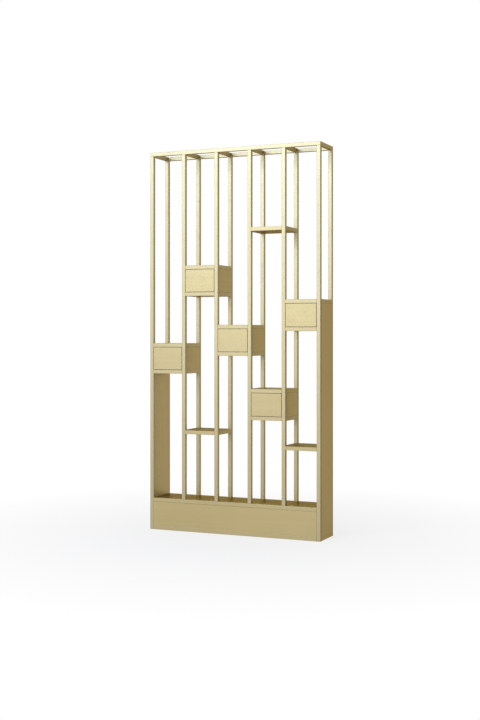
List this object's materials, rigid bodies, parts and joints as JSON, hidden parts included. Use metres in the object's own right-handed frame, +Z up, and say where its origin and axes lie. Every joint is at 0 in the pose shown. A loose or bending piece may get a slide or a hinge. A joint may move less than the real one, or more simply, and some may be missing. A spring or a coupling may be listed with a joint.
{
  "type": "metal partition",
  "caption": "Free-standing metal partition screen: square tube posts on a closed plinth, with shelves and push-to-open drawer boxes set between the posts at different heights.",
  "frame": {"origin": "centre of the footprint, on the floor", "axes": "+X to the right along the screen, seen from the side of the drawer fronts; +Y to the rear; +Z up"},
  "size_m": [1.2, 0.24, 2.5],
  "materials": {
    "post_tube": "satin champagne gold coating",
    "rail_tube": "satin champagne gold coating",
    "plinth_sheet": "satin champagne gold coating",
    "side_sheet": "satin champagne gold coating",
    "shelf_metal": "satin champagne gold coating",
    "box_sheet": "satin champagne gold coating",
    "drawer_front_sheet": "satin champagne gold coating",
    "tray_sheet": "fine-textured powder coat",
    "runner_steel": "zinc plated",
    "cage_steel": "zinc plated"
  },
  "bodies": {
    "frame": {"front_post_1": "post_tube", "front_post_2": "post_tube", "front_post_3": "post_tube", "front_post_4": "post_tube", "front_post_5": "post_tube", "front_post_6": "post_tube", "rear_post_1": "post_tube", "rear_post_2": "post_tube", "rear_post_3": "post_tube", "rear_post_4": "post_tube", "rear_post_5": "post_tube", "rear_post_6": "post_tube", "top_front_rail": "rail_tube", "top_rear_rail": "rail_tube", "top_cross_tubes": "rail_tube", "base_rails": "rail_tube", "base_cross_tubes": "rail_tube", "base_front_panel": "plinth_sheet", "base_rear_panel": "plinth_sheet", "base_deck": "plinth_sheet", "left_side_panel": "side_sheet", "right_side_panel": "side_sheet", "shelf_2": "shelf_metal", "shelf_4": "shelf_metal", "shelf_5": "shelf_metal", "box_1_rails": "rail_tube", "box_2_rails": "rail_tube", "box_3_rails": "rail_tube", "box_4_rails": "rail_tube", "box_5_rails": "rail_tube", "box_1_skins": "box_sheet", "box_2_skins": "box_sheet", "box_3_skins": "box_sheet", "box_4_skins": "box_sheet", "box_5_skins": "box_sheet", "runner_1_fixed": "runner_steel", "runner_2_fixed": "runner_steel", "runner_3_fixed": "runner_steel", "runner_4_fixed": "runner_steel", "runner_5_fixed": "runner_steel"},
    "drawer_1": {"drawer_1_front": "drawer_front_sheet", "drawer_1_tray": "tray_sheet", "runner_1_moving": "runner_steel"},
    "ball_cages_1": {"runner_1_cages": "cage_steel"},
    "drawer_2": {"drawer_2_front": "drawer_front_sheet", "drawer_2_tray": "tray_sheet", "runner_2_moving": "runner_steel"},
    "ball_cages_2": {"runner_2_cages": "cage_steel"},
    "drawer_3": {"drawer_3_front": "drawer_front_sheet", "drawer_3_tray": "tray_sheet", "runner_3_moving": "runner_steel"},
    "ball_cages_3": {"runner_3_cages": "cage_steel"},
    "drawer_4": {"drawer_4_front": "drawer_front_sheet", "drawer_4_tray": "tray_sheet", "runner_4_moving": "runner_steel"},
    "ball_cages_4": {"runner_4_cages": "cage_steel"},
    "drawer_5": {"drawer_5_front": "drawer_front_sheet", "drawer_5_tray": "tray_sheet", "runner_5_moving": "runner_steel"},
    "ball_cages_5": {"runner_5_cages": "cage_steel"}
  },
  "joints": [
    {"name": "drawer_1_slide", "type": "slide", "parent": "frame", "child": "drawer_1", "axis": [0, -1, 0], "range_m": [-0.002, 0.15]},
    {"name": "ball_cages_1_slide", "type": "slide", "parent": "frame", "child": "ball_cages_1", "axis": [0, -1, 0], "range_m": [-0.001, 0.075]},
    {"name": "drawer_2_slide", "type": "slide", "parent": "frame", "child": "drawer_2", "axis": [0, -1, 0], "range_m": [-0.002, 0.15]},
    {"name": "ball_cages_2_slide", "type": "slide", "parent": "frame", "child": "ball_cages_2", "axis": [0, -1, 0], "range_m": [-0.001, 0.075]},
    {"name": "drawer_3_slide", "type": "slide", "parent": "frame", "child": "drawer_3", "axis": [0, -1, 0], "range_m": [-0.002, 0.15]},
    {"name": "ball_cages_3_slide", "type": "slide", "parent": "frame", "child": "ball_cages_3", "axis": [0, -1, 0], "range_m": [-0.001, 0.075]},
    {"name": "drawer_4_slide", "type": "slide", "parent": "frame", "child": "drawer_4", "axis": [0, -1, 0], "range_m": [-0.002, 0.15]},
    {"name": "ball_cages_4_slide", "type": "slide", "parent": "frame", "child": "ball_cages_4", "axis": [0, -1, 0], "range_m": [-0.001, 0.075]},
    {"name": "drawer_5_slide", "type": "slide", "parent": "frame", "child": "drawer_5", "axis": [0, -1, 0], "range_m": [-0.002, 0.15]},
    {"name": "ball_cages_5_slide", "type": "slide", "parent": "frame", "child": "ball_cages_5", "axis": [0, -1, 0], "range_m": [-0.001, 0.075]}
  ],
  "couplings": [
    {"joint": "ball_cages_1_slide", "follows": "drawer_1_slide", "ratio": 0.5},
    {"joint": "ball_cages_2_slide", "follows": "drawer_2_slide", "ratio": 0.5},
    {"joint": "ball_cages_3_slide", "follows": "drawer_3_slide", "ratio": 0.5},
    {"joint": "ball_cages_4_slide", "follows": "drawer_4_slide", "ratio": 0.5},
    {"joint": "ball_cages_5_slide", "follows": "drawer_5_slide", "ratio": 0.5}
  ]
}
